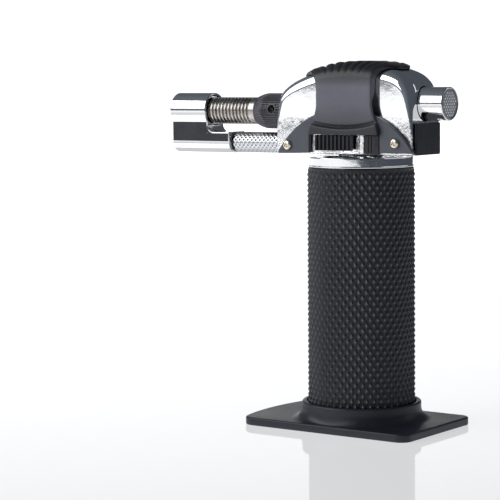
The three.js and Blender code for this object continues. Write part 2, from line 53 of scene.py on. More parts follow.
def mm(*sizes):
    return tuple(size * MM for size in sizes)


def low(node):
    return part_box(node)[0]


def high(node):
    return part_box(node)[1]


def middle(node):
    return (low(node) + high(node)) / 2


# ---------------- camera

CAMERA_AZIMUTH = math.radians(35.8)      # from -Y towards +X
CAMERA_ELEVATION = math.radians(5.24)
CAMERA_ROLL = math.radians(-0.47)
CAMERA_DISTANCE = 0.80652
CAMERA_LENS = 142.45
CAMERA_SENSOR = 36
AIM_SIDEWAYS = -45.36 * MM               # the aim point, from the tank's axis along the view's right
AIM_HEIGHT = 72.41 * MM


def heading(azimuth, elevation=0.0):
    """The direction at an azimuth from -Y towards +X, and an elevation."""
    level = math.cos(elevation)
    return Vector((math.sin(azimuth) * level, -math.cos(azimuth) * level, math.sin(elevation)))


def make_camera():
    back = heading(CAMERA_AZIMUTH, CAMERA_ELEVATION)
    level = heading(CAMERA_AZIMUTH + QUARTER)
    upright = back.cross(level)
    right = level * math.cos(CAMERA_ROLL) + upright * math.sin(CAMERA_ROLL)
    up = upright * math.cos(CAMERA_ROLL) - level * math.sin(CAMERA_ROLL)
    place = level * AIM_SIDEWAYS + Vector((0, 0, AIM_HEIGHT)) + back * CAMERA_DISTANCE
    data = bpy.data.cameras.new("camera")
    data.lens = CAMERA_LENS
    data.sensor_width = CAMERA_SENSOR
    data.clip_start = 0.01
    camera = bpy.data.objects.new("camera", data)
    camera.matrix_world = Matrix.Translation(place) @ Matrix((right, up, back)).transposed().to_4x4()
    bpy.context.scene.collection.objects.link(camera)
    bpy.context.scene.camera = camera


# ---------------- materials

def feed(node, inputs):
    """Sets each named socket to a value, or links it to the output that feeds it."""
    for name, value in inputs.items():
        if isinstance(value, bpy.types.NodeSocket):
            node.id_data.links.new(value, node.inputs[name])
        else:
            node.inputs[name].default_value = value
    return node


def add(tree, kind, inputs=None, **settings):
    """A new shader node, with its settings made before its sockets are fed."""
    node = tree.nodes.new("ShaderNode" + kind)
    for name, value in settings.items():
        setattr(node, name, value)
    return feed(node, inputs or {})


def new_material(name):
    made = bpy.data.materials.new(name)
    made.use_nodes = True
    return made, made.node_tree, made.node_tree.nodes["Principled BSDF"]


def noise(tree, vector, scale, detail, roughness=0.5):
    return add(tree, "TexNoise", {"Vector": vector, "Scale": scale, "Detail": detail,
                                  "Roughness": roughness}).outputs["Fac"]


def spread(tree, value, source, target=(0, 1)):
    """Maps a value from the source range onto the target range, clamped."""
    return add(tree, "MapRange", {"Value": value, "From Min": source[0], "From Max": source[1],
                                  "To Min": target[0], "To Max": target[1]}).outputs["Result"]


def blend_colours(tree, factor, dark, light):
    return add(tree, "Mix", {"Factor": factor, "A": (*dark, 1), "B": (*light, 1)},
               data_type="RGBA").outputs["Result"]


def height_of(tree, place):
    return add(tree, "SeparateXYZ", {0: place}).outputs["Z"]


def length_of(tree, vector):
    return add(tree, "VectorMath", {0: vector}, operation="LENGTH").outputs["Value"]


# Painted shade: a shade by height up the object, from (height, shade) stops.
def painted_shade_by_height(tree, place, painted_height_shade):
    bottom, top = painted_height_shade[0][0], painted_height_shade[-1][0]
    ramp = add(tree, "ValToRGB", {"Fac": spread(tree, height_of(tree, place), (bottom, top))})
    stops = ramp.color_ramp.elements
    while len(stops) < len(painted_height_shade):
        stops.new(1)
    for stop, (height, shade) in zip(stops, painted_height_shade):
        stop.position = (height - bottom) / (top - bottom)
        stop.color = (shade, shade, shade, 1)
    return ramp.outputs["Color"]


# Painted shade: darker down to the roots of a knurl round an axis, full colour on its peaks.
def painted_shade_by_depth(tree, place, groove):
    centre, across, root, peak, shade = groove
    back = tuple(-c * a for c, a in zip(centre, across))
    from_axis = add(tree, "Mapping", {"Vector": place, "Location": back, "Scale": across})
    radius = length_of(tree, from_axis.outputs["Vector"])
    return blend_colours(tree, spread(tree, radius, (root, peak)), (shade,) * 3, (1, 1, 1))


FINE_SHARE, BROAD_SHARE = 0.4, 0.6      # of the fine and the broad noise, in colour and roughness
CALM_BUMP = 0.012                       # what is left of the relief where it has died away
COAT_ROUGHNESS = 0.1


def finish(name, dark, light, rough, patch=60, grain=900, bump=0.1, metal=0.0, stretch=(1, 1, 1),
           specular=0.5, coat=0.0, sheen=0.0, bump_size=0.2 * MM, groove=None, painted_height_shade=None, calm=None):
    """A material whose colour, roughness and fine relief all vary over the surface.

    patch is the scale of the broad variation and grain that of the fine one, per metre.
    groove is (axis point, axis scale, root radius, peak radius, shade): painted shade, the colour falls
    to shade times itself from the peaks down to the roots round that axis, so the roots look shadowed
    and the peaks lit. The list of (height, shade) pairs is painted shade up the object: the colour is
    multiplied by it. calm is (from height, to height): the relief dies away between them."""
    made, tree, shader = new_material(name)
    place = add(tree, "TexCoord").outputs["Object"]
    vector = add(tree, "Mapping", {"Vector": place, "Scale": stretch}).outputs["Vector"]
    fine = noise(tree, vector, grain, 6, 0.6)
    broad = noise(tree, vector, patch, 3)
    broad = add(tree, "Math", {0: broad, 1: BROAD_SHARE}, operation="MULTIPLY").outputs[0]
    mixed = add(tree, "Math", {0: fine, 1: FINE_SHARE, 2: broad}, operation="MULTIPLY_ADD").outputs[0]
    colour = blend_colours(tree, spread(tree, mixed, (0.35, 0.65)), dark, light)
    # Painted shade, from the knurls' roots or from height, multiplies the colour.
    if groove or painted_height_shade:
        shade = painted_shade_by_depth(tree, place, groove) if groove else painted_shade_by_height(tree, place, painted_height_shade)
        colour = add(tree, "Mix", {"Factor": 1.0, "A": colour, "B": shade}, data_type="RGBA",
                     blend_type="MULTIPLY").outputs["Result"]
    feed(shader, {
        "Base Color": colour, "Roughness": spread(tree, mixed, (0.3, 0.7), rough), "Metallic": metal,
        "Specular IOR Level": specular, "Coat Weight": coat, "Coat Roughness": COAT_ROUGHNESS,
        "Sheen Weight": sheen,
    })
    strength = spread(tree, height_of(tree, place), calm, (bump, CALM_BUMP)) if calm else bump
    relief = add(tree, "Bump", {"Strength": strength, "Distance": bump_size, "Height": fine})
    feed(shader, {"Normal": relief.outputs["Normal"]})
    return made


GRIP_R = high("grip_sleeve").x
IGNITER_R = high("igniter_tube").y
# Painted shade in the knurls' roots, so the peaks read as lit dots: (axis point, axis scale, root
# radius, peak radius, shade).
GRIP_PAINTED_ROOT_SHADE = ((0, 0, 0), (1, 1, 0), GRIP_R - 0.5 * MM, GRIP_R - 0.06 * MM, 0.14)
IGNITER_AXIS = (0, 0, middle("igniter_tube").z)
IGNITER_PAINTED_ROOT_SHADE = (IGNITER_AXIS, (0, 1, 1), IGNITER_R - 0.36 * MM, IGNITER_R - 0.06 * MM, 0.4)
# Painted shade on the saddle as (height, shade): darker under its hem, where shade falls, and on its
# crown, which the lamps light weakly.
SADDLE_PAINTED_SHADE = [(0.1195, 0.16), (0.1228, 0.18), (0.1245, 0.55), (0.132, 0.9), (0.1385, 1), (0.1435, 0.1)]

CHROME = finish("chrome_plate", (0.78, 0.79, 0.8), (0.86, 0.87, 0.88), (0.03, 0.09), patch=45,
                grain=140, bump=0.06, metal=1.0, bump_size=0.6 * MM)
HEAD_CHROME = finish("head_chrome", (0.9, 0.905, 0.91), (0.955, 0.96, 0.965), (0.02, 0.06), patch=45,
                     grain=170, bump=1.0, metal=1.0, bump_size=1.2 * MM, calm=(0.114, 0.127))
BRIGHT = finish("bright_chrome", (0.8, 0.81, 0.83), (0.88, 0.89, 0.9), (0.06, 0.13), patch=80,
                grain=500, bump=0.05, metal=1.0)
KNURLED = finish("knurled_chrome", (0.62, 0.63, 0.65), (0.72, 0.73, 0.75), (0.12, 0.22), patch=90,
                 metal=1.0, groove=IGNITER_PAINTED_ROOT_SHADE)
STEEL = finish("burner_steel", (0.4, 0.375, 0.35), (0.62, 0.59, 0.56), (0.18, 0.34), patch=70,
               grain=700, bump=0.15, metal=1.0, stretch=(4, 1, 1))
SPRING = finish("spring_steel", (0.42, 0.41, 0.4), (0.6, 0.59, 0.57), (0.22, 0.38), patch=120,
                grain=1500, metal=1.0)
BRASS = finish("turned_brass", (0.6, 0.43, 0.19), (0.78, 0.6, 0.3), (0.2, 0.36), patch=120,
               metal=1.0, stretch=(1, 1, 5))
NICKEL = finish("nickel_brass", (0.66, 0.59, 0.45), (0.85, 0.79, 0.66), (0.12, 0.28), patch=300,
                grain=1500, metal=1.0)
COPPER = finish("drawn_copper", (0.55, 0.28, 0.18), (0.74, 0.44, 0.31), (0.2, 0.4), patch=150, metal=1.0)
GUARD_SIDE = finish("guard_side", (0.022, 0.023, 0.029), (0.038, 0.039, 0.048), (0.26, 0.36), patch=120,
                    grain=1200, bump=0.12, specular=0.42)
CAP_METAL = finish("cap_metal", (0.21, 0.22, 0.235), (0.3, 0.315, 0.34), (0.28, 0.4), patch=200,
                   grain=1500)
CAP_DOTS = finish("cap_dots", (0.82, 0.83, 0.85), (0.94, 0.95, 0.96), (0.2, 0.3), patch=300,
                  grain=1500, bump=0.05)
RUBBER = finish("grip_rubber", (0.125, 0.132, 0.165), (0.175, 0.182, 0.225), (0.34, 0.48), patch=40,
                grain=1400, bump=0.2, specular=0.35, groove=GRIP_PAINTED_ROOT_SHADE)
STAND = finish("stand_plastic", (0.016, 0.018, 0.027), (0.026, 0.028, 0.04), (0.32, 0.46), patch=35,
               grain=2600, bump=0.22, specular=0.42)
SADDLE = finish("saddle_rubber", (0.125, 0.128, 0.158), (0.175, 0.179, 0.216), (0.36, 0.46),
                grain=2200, bump=0.2, sheen=0.05, painted_height_shade=SADDLE_PAINTED_SHADE)
SATIN = finish("satin_paint", (0.068, 0.076, 0.094), (0.09, 0.1, 0.122), (0.34, 0.46), patch=50,
               grain=2000, bump=0.2)
CONTROL = finish("control_plastic", (0.01, 0.01, 0.013), (0.022, 0.022, 0.026), (0.26, 0.4), patch=90,
                 grain=1800, bump=0.15)
BLOCK = finish("block_plastic", (0.01, 0.012, 0.019), (0.017, 0.021, 0.032), (0.3, 0.42),
               grain=2000, bump=0.15, specular=0.3)
RING = finish("ring_black", (0.042, 0.042, 0.052), (0.085, 0.084, 0.102), (0.24, 0.38), patch=90,
              grain=1600, bump=0.15)
TANK = finish("tank_plastic", (0.62, 0.62, 0.6), (0.74, 0.74, 0.72), (0.24, 0.34), patch=40, bump=0.08)
WICK = finish("cotton_wick", (0.62, 0.58, 0.48), (0.84, 0.82, 0.74), (0.85, 0.98), patch=400,
              grain=3000, bump=0.6, stretch=(1, 1, 6), specular=0.2, sheen=0.3)
SEAL = finish("seal_rubber", (0.014, 0.014, 0.014), (0.03, 0.03, 0.03), (0.45, 0.62), patch=200,
              grain=2400, bump=0.2)
CERAMIC = finish("ceramic", (0.78, 0.76, 0.7), (0.9, 0.88, 0.84), (0.12, 0.22), patch=120,
                 grain=1400, bump=0.05, coat=0.4)
LEAD = finish("lead_rubber", (0.22, 0.02, 0.015), (0.38, 0.05, 0.035), (0.34, 0.48), patch=200,
              grain=2000)


# ---------------- outlines

def rounded(corners, step=math.radians(15)):
    """A closed outline from (u, v, radius) corners, each turned by an arc of its radius."""
    points = []
    count = len(corners)
    for i, (u, v, radius) in enumerate(corners):
        here = Vector((u, v))
        if radius == 0:
            points.append(here)
            continue
        before = (Vector(corners[i - 1][:2]) - here).normalized()
        after = (Vector(corners[(i + 1) % count][:2]) - here).normalized()
        angle = before.angle(after)
        turn = math.pi - angle
        centre = here + (before + after).normalized() * (radius / math.sin(angle / 2))
        reach = radius / math.tan(angle / 2)
        start = here + before * reach - centre
        end = here + after * reach - centre
        steps = max(2, round(turn / step))
        for k in range(steps + 1):
            t = k / steps
            arm = (start * math.sin((1 - t) * turn) + end * math.sin(t * turn)) / math.sin(turn)
            points.append(centre + arm)
    return np.array([tuple(p) for p in points])


def rectangle(u0, v0, u1, v1, radii, step=math.radians(15)):
    """A closed outline from (u0, v0) round by (u1, v0), its four corners turned by radii."""
    corners = ((u0, v0), (u1, v0), (u1, v1), (u0, v1))
    return rounded([(u, v, radius) for (u, v), radius in zip(corners, radii)], step)


def arc(centre, radius, start, end, steps):
    angles = np.linspace(start, end, steps + 1)
    return np.column_stack((centre[0] + radius * np.cos(angles), centre[1] + radius * np.sin(angles)))


def bezier(a, b, c, d, steps):
    t = np.linspace(0, 1, steps + 1)[:, None]
    a, b, c, d = (np.array(p, float) for p in (a, b, c, d))
    return a * (1 - t) ** 3 + 3 * b * t * (1 - t) ** 2 + 3 * c * t ** 2 * (1 - t) + d * t ** 3


def resample(outline, count):
    """Equal steps along a closed outline."""
    closed = np.vstack((outline, outline[:1]))
    lengths = np.concatenate(([0], np.cumsum(np.linalg.norm(np.diff(closed, axis=0), axis=1))))
    at = np.linspace(0, lengths[-1], count, endpoint=False)
    return np.column_stack([np.interp(at, lengths, closed[:, k]) for k in (0, 1)])


def unit(rows):
    return rows / np.maximum(np.linalg.norm(rows, axis=1, keepdims=True), 1e-12)


def inset(outline, distance):
    """Moves each corner of a closed counter-clockwise outline inwards by one distance, or its own."""
    after = unit(np.roll(outline, -1, axis=0) - outline)
    tangent = unit(unit(outline - np.roll(outline, 1, axis=0)) + after)
    inward = np.column_stack((-tangent[:, 1], tangent[:, 0]))
    mitre = 1 / np.maximum(0.5, (tangent * after).sum(axis=1))
    return outline + inward * (mitre * distance)[:, None]


def smoothstep(value, start, end):
    t = np.clip((value - start) / (end - start), 0, 1)
    return t * t * (3 - 2 * t)


# ---------------- meshes

def form(name, points, faces):
    """A mesh object with merged vertices and outward faces."""
    mesh = bpy.data.meshes.new(name)
    mesh.from_pydata([tuple(p) for p in points], [], faces)
    work = bmesh.new()
    work.from_mesh(mesh)
    bmesh.ops.remove_doubles(work, verts=work.verts, dist=1e-7)
    bmesh.ops.recalc_face_normals(work, faces=work.faces)
    work.to_mesh(mesh)
    work.free()
    made = bpy.data.objects.new(name, mesh)
    bpy.context.scene.collection.objects.link(made)
    return made


def skin(name, loops, caps=True, closed=False):
    """Skins a stack of equal loops. caps closes both ends, closed joins the last loop to the first."""
    loops = [np.asarray(loop, float) for loop in loops]
    count = len(loops[0])
    faces = []
    for i in range(len(loops) if closed else len(loops) - 1):
        a, b = i * count, ((i + 1) % len(loops)) * count
        for k in range(count):
            n = (k + 1) % count
            faces.append((a + k, a + n, b + n, b + k))
    if caps and not closed:
        faces.append(tuple(range(count)))
        last = (len(loops) - 1) * count
        faces.append(tuple(range(last + count - 1, last - 1, -1)))
    return form(name, np.vstack(loops), faces)


def along_x(height, across=0.0):
    """Puts (u, v, w) with w along X, on an axis at that height."""
    return lambda u, v, w: (w, across + u, height + v)


def along_y(x, z, side=1):
    """Puts (u, v, w) with w along Y, or against it, on an axis through x and z."""
    return lambda u, v, w: (x + u, side * w, z + v)


def along_z(u, v, w):
    return (u, v, w)


def turned(name, profile, place, sides=96):
    """Turns a closed profile of (radius, along) points about an axis."""
    angles = np.arange(sides) * TAU / sides
    loops = [[place(radius * math.cos(t), radius * math.sin(t), along) for t in angles]
             for radius, along in profile]
    solid = profile[0][0] == 0 and profile[-1][0] == 0
    return skin(name, loops, caps=False, closed=not solid)


def slab(name, outline, start, end, edge, place, steps=3):
    """Pushes an outline from start to end with both rims rounded by edge."""
    rims = ([], [])
    for k in range(steps + 1):
        angle = QUARTER * k / steps
        ring, rise = inset(outline, edge * (1 - math.sin(angle))), edge * (1 - math.cos(angle))
        for rim, w in zip(rims, (start + rise, end - rise)):
            rim.append([place(u, v, w) for u, v in ring])
    return skin(name, rims[0] + rims[1][::-1])


def block(name, corner, other, edge=0.2 * MM):
    """A box between two corners with rounded edges."""
    (x0, y0, z0), (x1, y1, z1) = corner, other
    outline = rectangle(x0, y0, x1, y1, [edge] * 4, math.radians(30))
    return slab(name, outline, z0, z1, edge * 0.9, along_z)


def rod(name, radius, start, end, place, sides=32):
    return turned(name, [(0, start), (radius, start), (radius, end), (0, end)], place, sides)


def combine(base, operation, *tools):
    """Applies a boolean of each tool to base, and removes the tools."""
    for tool in tools:
        step = base.modifiers.new("combine", "BOOLEAN")
        step.operation = operation
        step.solver = "EXACT"
        step.object = tool
    graph = bpy.context.evaluated_depsgraph_get()
    result = bpy.data.meshes.new_from_object(base.evaluated_get(graph))
    base.modifiers.clear()
    old = base.data
    base.data = result
    bpy.data.meshes.remove(old)
    for tool in tools:
        bpy.data.objects.remove(tool)
    return base


def cut(base, *tools):
    return combine(base, "DIFFERENCE", *tools)


def unite(base, *tools):
    return combine(base, "UNION", *tools)


def piece(made, material, slot_name, body, *nodes, sharp=32, flats=True):
    """Shades a form and lets it stand for CAD nodes on a body. flats keeps large faces flat."""
    made.data.materials.clear()
    made.data.materials.append(material)
    made.data.shade_smooth()
    made.data.set_sharp_from_angle(angle=math.radians(sharp))
    if flats:
        made.modifiers.new("flat_faces", "WEIGHTED_NORMAL").keep_sharp = True
    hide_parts(*nodes)
    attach(made, body)


# ---------------- stand

PLATE_THICK = 3.3 * MM
PLATE_BOW = 4 * MM               # how far the nozzle end bows out
PLATE_EDGE = 0.7 * MM
FLARE_FOOT = 29.2 * MM
FLARE_TOP = 7.8 * MM
NECK_R = 24.4 * MM
SOCKET_R = 22.3 * MM
LEDGE_Z = 6.9 * MM
WELL_R = 19.4 * MM
WELL_Z = 4 * MM


def plate_outline(count=320):
    """A rounded rectangle whose nozzle end bows outwards on a large arc."""
    front, half, rear = low("base_stand").x, high("base_stand").y, high("base_stand").x
    rear_corner, front_corner = 5 * MM, 6 * MM
    bow_r = (half ** 2 + PLATE_BOW ** 2) / (2 * PLATE_BOW)
    bow_x = front + bow_r
    corner_y = half - front_corner
    corner_x = bow_x - math.sqrt((bow_r - front_corner) ** 2 - corner_y ** 2)
    meet = math.atan2(corner_y, corner_x - bow_x)
    side = np.vstack((
        arc((rear - rear_corner, half - rear_corner), rear_corner, 0, QUARTER, 12),
        arc((corner_x, corner_y), front_corner, QUARTER, meet, 12),
        arc((bow_x, 0), bow_r, meet, 2 * QUARTER, 20),
    ))
    return resample(np.vstack((side, side[::-1] * (1, -1))), count)


def make_stand():
    outline = plate_outline()
    top = high("base_stand").z
    reach = np.linalg.norm(outline, axis=1)
    ways = outline / reach[:, None]
    foot = np.minimum(FLARE_FOOT, reach - 0.9 * MM)
    loops = []

    def ring(points, z):
        loops.append(np.column_stack((points, np.full(len(points), z))))

    ring(ways * 0, 0)
    ring(outline * 0.5, 0)
    for inward, z in ((0.5, 0), (0.12, 0.12), (0, 0.5)):
        ring(inset(outline, inward * MM), z * MM)
    for angle in np.linspace(0, QUARTER, 5):
        inward, drop = PLATE_EDGE * (1 - math.cos(angle)), PLATE_EDGE * (1 - math.sin(angle))
        ring(inset(outline, inward), PLATE_THICK - drop)
    for angle in np.linspace(0, QUARTER, 13):
        radius = foot - (foot - NECK_R) * math.sin(angle)
        ring(ways * radius[:, None], FLARE_TOP - (FLARE_TOP - PLATE_THICK) * math.cos(angle))
    lip = rounded([
        (NECK_R, FLARE_TOP, 0), (NECK_R, top, 0.8 * MM), (SOCKET_R + 0.2 * MM, top, 0.4 * MM),
        (SOCKET_R, LEDGE_Z, 0.3 * MM), (WELL_R, LEDGE_Z, 0.2 * MM), (WELL_R, WELL_Z, 0.4 * MM),
        (0, WELL_Z, 0),
    ])
    for radius, z in lip[1:]:
        ring(ways * radius, z)
    made = skin("stand_moulding", loops, caps=False)
    piece(made, STAND, "stand_plastic", "stand", "base_stand", sharp=40)


# ---------------- grip

KNURL_AROUND = 45
KNURL_PITCH = 4.4 * MM           # height of one diamond
KNURL_DEPTH = 0.85 * MM
KNURL_VALLEY = 0.2               # share of a diamond that is flat groove
KNURL_GRID = 8                   # grid steps across one diamond


def tent(value):
    return 1 - np.abs(2 * (value % 1) - 1)


def make_grip():
    bottom, top = low("grip_sleeve").z, high("grip_sleeve").z
    bore = GRIP_R - 2.2 * MM
    root = GRIP_R - KNURL_DEPTH
    columns = KNURL_AROUND * KNURL_GRID
    angles = np.arange(columns) * TAU / columns
    knurl_low, knurl_high = bottom + 1.2 * MM, top - 0.9 * MM
    step = KNURL_PITCH / KNURL_GRID
    rows = int((knurl_high - knurl_low) / step)
    rings = [(bore, bottom), (root - 0.4 * MM, bottom), (root, bottom + 0.4 * MM)]
    first = len(rings)
    i = np.arange(columns) / KNURL_GRID
    for j in range(rows + 1):
        v = j / KNURL_GRID
        rise = np.minimum(tent(i + v), tent(i - v))
        rise = np.clip((rise - KNURL_VALLEY) / (1 - KNURL_VALLEY), 0, 1)
        rings.append((root + KNURL_DEPTH * rise, knurl_low + j * step))
    last = len(rings) - 1
    rings += [(root + 0.3 * MM, knurl_high + 0.25 * MM), (root + 0.35 * MM, top - 0.25 * MM),
              (root + 0.1 * MM, top), (bore, top)]
    points = [np.column_stack((r * np.cos(angles), r * np.sin(angles), np.full(columns, z)))
              for r, z in rings]
    faces = []
    for j in range(len(rings)):
        a, b = j * columns, ((j + 1) % len(rings)) * columns
        for k in range(columns):
            n = (k + 1) % columns
            p, q, r, s = a + k, a + n, b + n, b + k
            row = j - first
            if first <= j < last and (k + row + 1) % KNURL_GRID == 0:
                faces += [(p, q, s), (q, r, s)]
            elif first <= j < last and (k - row) % KNURL_GRID == 0:
                faces += [(p, q, r), (p, r, s)]
            else:
                faces.append((p, q, r, s))
    made = form("grip_knurled", np.vstack(points), faces)
    piece(made, RUBBER, "grip_rubber", "torch", "grip_sleeve", sharp=34, flats=False)


# ---------------- collar

def make_collar():
    bottom, peak = low("neck_ring").z, high("neck_ring").x
    rim_top, face, boss_top = 110.3 * MM, 111 * MM, high("neck_ring").z
    bore, boss = 6.6 * MM, 9 * MM
    profile = rounded([
        (bore, bottom, 0.2 * MM), (peak, bottom, 0.3 * MM), (peak, bottom + 0.55 * MM, 0.12 * MM),
        (peak - 0.3 * MM, bottom + 0.8 * MM, 0.1 * MM), (peak - 0.3 * MM, rim_top, 0.55 * MM),
        (16.5 * MM, face, 0.3 * MM), (boss, face, 0.2 * MM), (boss, boss_top, 0.3 * MM),
        (bore, boss_top, 0.2 * MM),
    ])
    made = turned("collar_ring", profile, along_z, 144)
    piece(made, CHROME, "chrome", "torch", "neck_ring")


# ---------------- head casing

HEAD_WALL = 1.6 * MM
SEAM = 0.04 * MM                 # half the parting line between the casing's halves
HALF_WIDTH = high("head_shell_right").y
LOWER_LIP = 131.5 * MM           # height where the nozzle end starts to lean back
CREST_END = 134 * MM             # height where the crest meets the button end
SCREW_HOLE_R = 1.35 * MM
SCREWS = [middle(f"plate_screw_{number}") for number in (1, 2)]


def head_profile(steps=16):
    """Side view of the casing as (x, z), from the lower nozzle corner over the crest."""
    front, rear = low("head_shell_left").x, high("head_shell_left").x
    bottom = low("head_shell_left").z
    crown_front, crown_rear = mm(-8, 146.4), mm(14, 146.4)
    curves = [
        [(front, LOWER_LIP), (front, 138 * MM), mm(-28, 142.2), crown_front],
        [crown_front, mm(-2, 147.1), mm(8, 147.3), crown_rear],
        [crown_rear, mm(22, 145.4), (rear, 143 * MM), (rear, CREST_END)],
    ]
    points = [(front, z) for z in np.linspace(bottom, LOWER_LIP, 7)]
    for curve in curves:
        points += [tuple(p) for p in bezier(*curve, steps)[1:]]
    points += [(rear, z) for z in np.linspace(CREST_END, bottom, 7)[1:]]
    return np.array(points)


def shoulder_radius(z):
    """Radius between crest and flank: sharp at the casing's foot, full at its crown."""
    return 0.8 * MM + 4.2 * MM * smoothstep(z, 120 * MM, 143 * MM)


def head_loops(inward, steps, past):
    """Half of the casing's form moved inwards, as loops from the -Y flank to past its middle."""
    base = head_profile()[::-1]
    outer = inset(base, inward)
    radii = np.maximum(0.4 * MM, shoulder_radius(base[:, 1]) - inward)
    loops = []
    for angle in np.linspace(QUARTER, 0, steps + 1):
        loop = inset(outer, radii * (1 - math.cos(angle)))
        y = -(HALF_WIDTH - inward - radii + radii * math.sin(angle))
        loops.append(np.column_stack((loop[:, 0], y, loop[:, 1])))
    loops.append(np.column_stack((outer[:, 0], np.full(len(outer), past), outer[:, 1])))
    return loops


def head_half(side):
    """One half of the casing: side is -1 for the left half and 1 for the right."""
    def turned_over(loops):
        return [loop * np.array((1, -side, 1)) for loop in loops]

    shell = skin(f"casing_{'left' if side < 0 else 'right'}", turned_over(head_loops(0, 8, -SEAM)))
    room = skin("room", turned_over(head_loops(HEAD_WALL, 4, 2 * MM)))
    floor = high("neck_ring").z
    cut(room, block("below", mm(-60, -30, 90), (*mm(60, 30), floor)))
    front, rear = low("head_shell_left").x, high("head_shell_left").x
    through = 4 * MM

    def end_hole(name, node, radius, wall, sides=32):
        return rod(name, radius, wall - through, wall + through, along_x(middle(node).z), sides)

    holes = [
        room,
        rod("neck_hole", 9.4 * MM, 108 * MM, floor + 0.4 * MM, along_z, 64),
        end_hole("burner_hole", "burner_tube", 4.6 * MM, front),
        end_hole("lead_hole", "igniter_tube", 2.2 * MM, front),
        end_hole("button_hole", "ignition_button", 7.05 * MM, rear, 64),
        block("block_pocket", (rear - through, *mm(-7.3, 113.2)), (rear + through, *mm(7.3, 122.3))),
    ]
    if side < 0:
        holes.append(block("lever_slot", (*mm(-10, -14), floor), (*mm(1.2, -9), floor + 2.5 * MM)))
    for screw in SCREWS:
        axis = along_y(screw.x, screw.z, side)
        holes.append(rod("screw_hole", SCREW_HOLE_R, 8 * MM, 14 * MM, axis, 24))
    return cut(shell, *holes)


def make_casing():
    right = head_half(1)
    piece(right, HEAD_CHROME, "chrome", "torch", "head_shell_right", sharp=28)
    left = head_half(-1)
    y0 = low("head_shell_left").y
    foot = 111.7 * MM
    post = rectangle(6.7 * MM, y0, *mm(9.6, -10.4), mm(1.6, 0.5, 0, 0))
    unite(left, slab("post", post, foot, 119.4 * MM, 0.25 * MM, along_z))
    piece(left, HEAD_CHROME, "chrome", "torch", "head_shell_left", sharp=28)
    stop = block("lever_stop", (9.9 * MM, y0, foot), mm(16.6, -11.05, 119.3), 0.35 * MM)
    before, edge = y0 - 1 * MM, 0.05 * MM
    grooves = [block("groove", (x, before, 112.4 * MM), (x + 0.4 * MM, y0 + 0.3 * MM, 118.7 * MM), edge)
               for x in mm(11.6, 13)]
    grooves += [block("notch", (15.2 * MM, before, z), (15.9 * MM, y0 + 0.25 * MM, z + 0.7 * MM), edge)
                for z in mm(113.4, 115.2, 117)]
    piece(cut(stop, *grooves), CONTROL, "control_plastic", "torch", "head_shell_left")


# ---------------- side plates and screws

PLATE_DROOP = 0.8 * MM           # how much lower the plates' nozzle end hangs than in the CAD
WINDOW_FRONT, WINDOW_REAR, WINDOW_TOP = mm(-16.6, 16.9, 120.2)


def plate_corners(left):
    bottom, end, top = low("side_plate_left").z, high("side_plate_left").x, high("side_plate_left").z
    rise = top - bottom
    radius = (end ** 2 + rise ** 2) / (2 * rise)
    centre = top - radius
    sweep = math.atan2(bottom - centre, end)
    run = arc((0, centre), radius, sweep, math.pi - sweep, 72)
    ends = []
    if left:
        ends = [(WINDOW_FRONT, bottom), (WINDOW_FRONT, WINDOW_TOP), (WINDOW_REAR, WINDOW_TOP),
                (WINDOW_REAR, bottom)]
    else:
        trim = high("side_plate_right").x
        run = run[run[:, 0] < trim - 0.6 * MM]
        ends = [(trim, bottom), (trim, centre + math.sqrt(radius ** 2 - trim ** 2))]
    corners = [(x, z, 0) for x, z in run[1:-1]]
    corners.append((run[-1][0], run[-1][1], 0.5 * MM))
    corners += [(x, z, 0.4 * MM) for x, z in ends]
    if left:
        corners.append((run[0][0], run[0][1], 0.5 * MM))
    outline = rounded(corners)
    forward = np.clip(-outline[:, 0] / end, 0, 1)
    outline[:, 1] -= PLATE_DROOP * forward * np.clip((top - outline[:, 1]) / rise, 0, 1)
    return outline


def make_side_plates():
    for side, node in ((-1, "side_plate_left"), (1, "side_plate_right")):
        outline = plate_corners(side < 0)
        start, end = sorted((low(node).y, high(node).y))
        name = node.replace("side_plate", "flank_plate")
        made = slab(name, outline, start, end, 0.35 * MM, along_y(0, 0), 4)
        holes = [rod("screw_hole", SCREW_HOLE_R, -16 * MM, 16 * MM, along_y(screw.x, screw.z), 24)
                 for screw in SCREWS]
        piece(cut(made, *holes), SATIN, "satin_black", "torch", node)


CROSS_TURN = 0.35                # of the screws' cross recesses


def make_screws():
    for number in range(1, 5):
        node = f"plate_screw_{number}"
        centre = middle(node)
        place = along_y(centre.x, centre.z, 1 if centre.y > 0 else -1)
        inner, outer = sorted((abs(low(node).y), abs(high(node).y)))
        shank, head = 1 * MM, 1.9 * MM
        seat = outer - 1 * MM
        rim = seat + 0.3 * MM
        profile = [(0, inner), (0.8 * MM, inner), (shank, inner + 0.3 * MM), (shank, seat), (head, seat),
                   (head, rim)]
        profile += [(head * math.cos(t), rim + 0.7 * MM * math.sin(t))
                    for t in np.linspace(0.15, QUARTER, 8)]
        made = turned(f"screw_{number}", profile, place, 40)
        for angle in (CROSS_TURN, CROSS_TURN + QUARTER):
            arm = rectangle(*mm(-1.15, -0.24, 1.15, 0.24), mm(0.1, 0.1, 0.1, 0.1))
            c, s = math.cos(angle), math.sin(angle)
            arm = arm @ np.array(((c, s), (-s, c)))
            cut(made, slab("cross", arm, outer - 0.6 * MM, outer + 1 * MM, 0.02 * MM, place, 1))
        piece(made, NICKEL, "screw_nickel", "torch", node)


# ---------------- thumb saddle

HEM_Z = 119.5 * MM
FLAT_END, ARC_END = 0.2, 0.5     # where t leaves the flat crest, and the arc of the shoulder
SADDLE_ROLLS = 9
CREST = np.array([point for point in head_profile() if point[1] > 133 * MM])


def crest(x):
    return np.interp(x, CREST[:, 0], CREST[:, 1])


def saddle_reach(t):
    """Ends of the saddle along X: wide on the crest, drawn in to a waist, flared at the hem."""
    draw = smoothstep(t, 0.08, 0.55)
    flare = smoothstep(t, 0.72, 1)
    return (-24.4 + 12.2 * draw - 3.4 * flare) * MM, (20.8 - 7 * draw + 3.6 * flare) * MM


